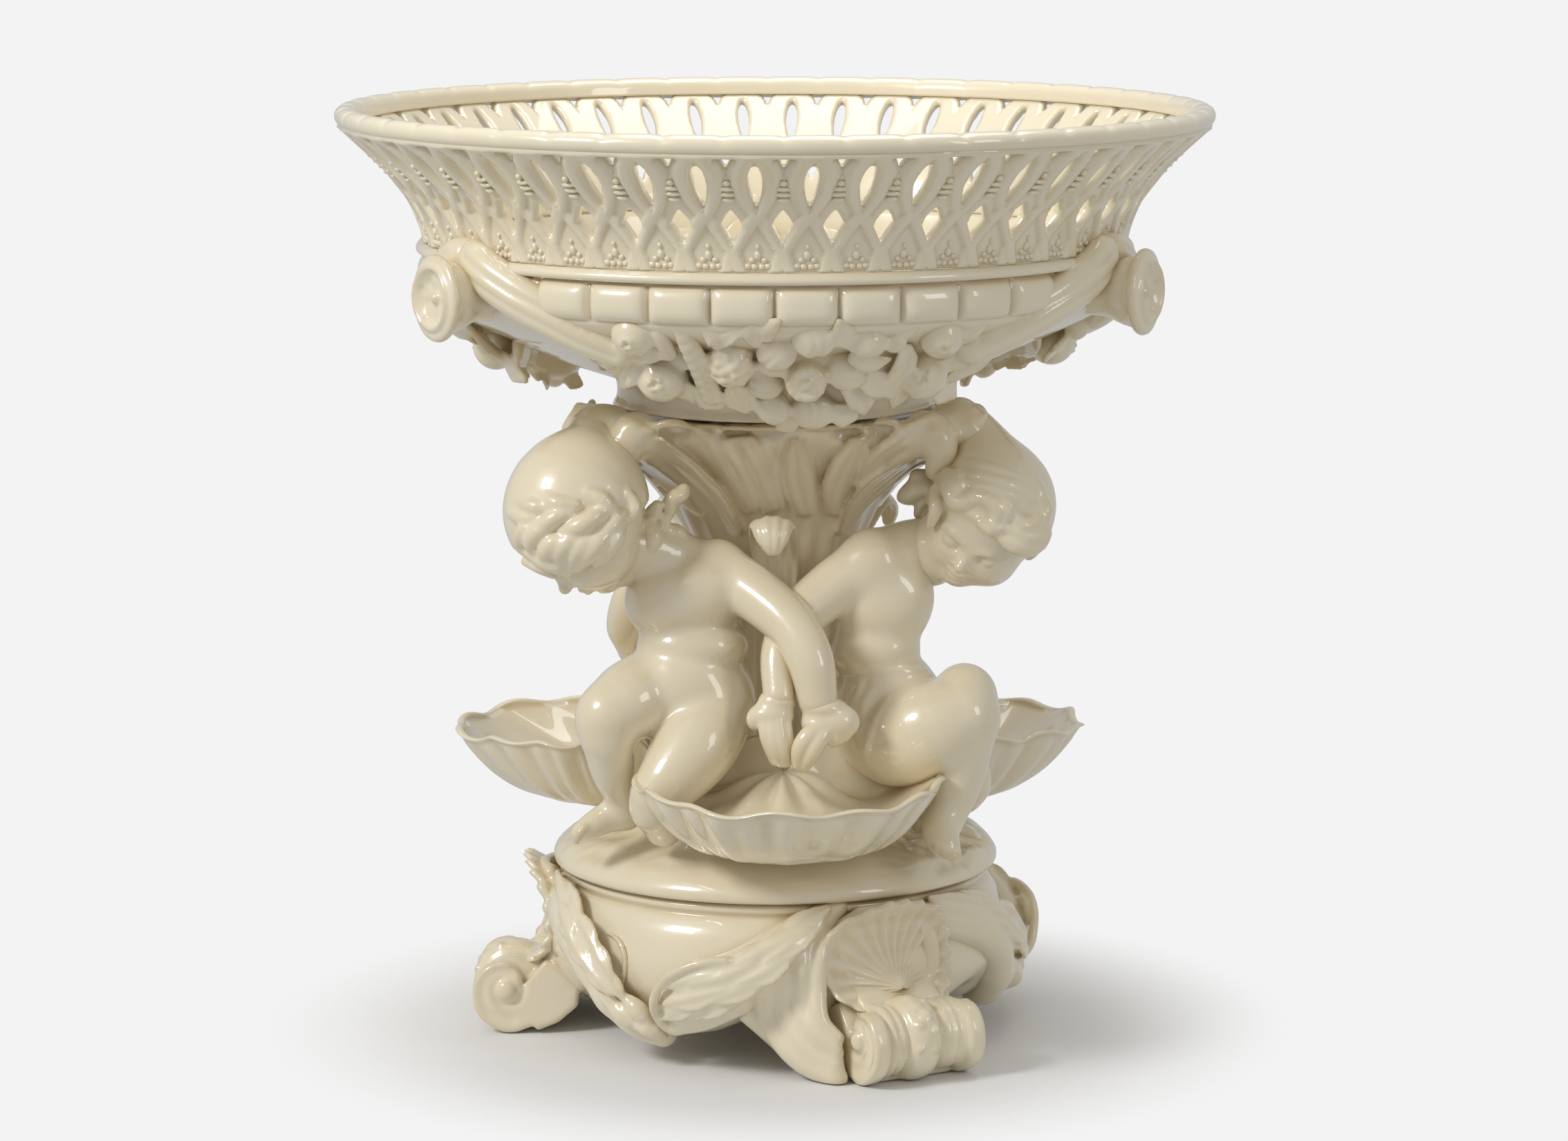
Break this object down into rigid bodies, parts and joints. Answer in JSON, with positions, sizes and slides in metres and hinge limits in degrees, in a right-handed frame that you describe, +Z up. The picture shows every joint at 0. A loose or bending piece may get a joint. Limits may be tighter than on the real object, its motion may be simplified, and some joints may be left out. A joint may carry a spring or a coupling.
{
  "type": "table centerpiece",
  "caption": "Cream glazed pottery centerpiece: pierced basket with garlands over crouching children and scallop dishes, on a scroll-footed plinth.",
  "frame": {"origin": "on the table, under the middle of the plinth", "axes": "+Z up, -Y towards the front dish, +X to its right"},
  "size_m": [0.3996, 0.3996, 0.4291],
  "materials": {
    "plinth_glaze": "glossy cream lead glaze",
    "stem_glaze": "glossy cream lead glaze, ochre where it pools between the leaves",
    "shell_glaze": "glossy cream lead glaze, ochre in the hollows",
    "figure_glaze": "glossy cream lead glaze",
    "relief_glaze": "glossy cream lead glaze, ochre in the recesses",
    "basket_glaze": "glossy cream lead glaze"
  },
  "bodies": {
    "plinth": {"plinth_body": "plinth_glaze", "scroll_foot_1": "plinth_glaze", "scroll_foot_2": "plinth_glaze", "scroll_foot_3": "plinth_glaze", "foot_shell_1": "shell_glaze", "foot_shell_2": "shell_glaze", "foot_shell_3": "shell_glaze", "laurel_swag_1": "relief_glaze", "laurel_swag_2": "relief_glaze", "laurel_swag_3": "relief_glaze"},
    "figure_group": {"ground_disc": "stem_glaze", "stem_capital": "stem_glaze", "shell_dish_1": "shell_glaze", "shell_dish_2": "shell_glaze", "shell_dish_3": "shell_glaze", "curled_leaf_1": "relief_glaze", "curled_leaf_2": "relief_glaze", "curled_leaf_3": "relief_glaze", "child_torso_1": "figure_glaze", "child_head_1": "figure_glaze", "child_lowered_arm_1": "figure_glaze", "child_raised_arm_1": "figure_glaze", "child_torso_2": "figure_glaze", "child_head_2": "figure_glaze", "child_lowered_arm_2": "figure_glaze", "child_raised_arm_2": "figure_glaze", "child_torso_3": "figure_glaze", "child_head_3": "figure_glaze", "child_lowered_arm_3": "figure_glaze", "child_raised_arm_3": "figure_glaze"},
    "basket": {"basket_foot_ring": "basket_glaze", "basket_bowl": "basket_glaze", "pierced_wall": "basket_glaze", "basket_rim": "basket_glaze", "garland_1": "relief_glaze", "garland_2": "relief_glaze", "garland_3": "relief_glaze", "rosette_boss_1": "relief_glaze", "rosette_boss_2": "relief_glaze", "rosette_boss_3": "relief_glaze"}
  },
  "joints": [
    {"name": "group_lift", "type": "slide", "parent": "plinth", "child": "figure_group", "axis": [0, 0, 1], "range_m": [0, 0.06]},
    {"name": "basket_lift", "type": "slide", "parent": "figure_group", "child": "basket", "axis": [0, 0, 1], "range_m": [0, 0.08]}
  ]
}
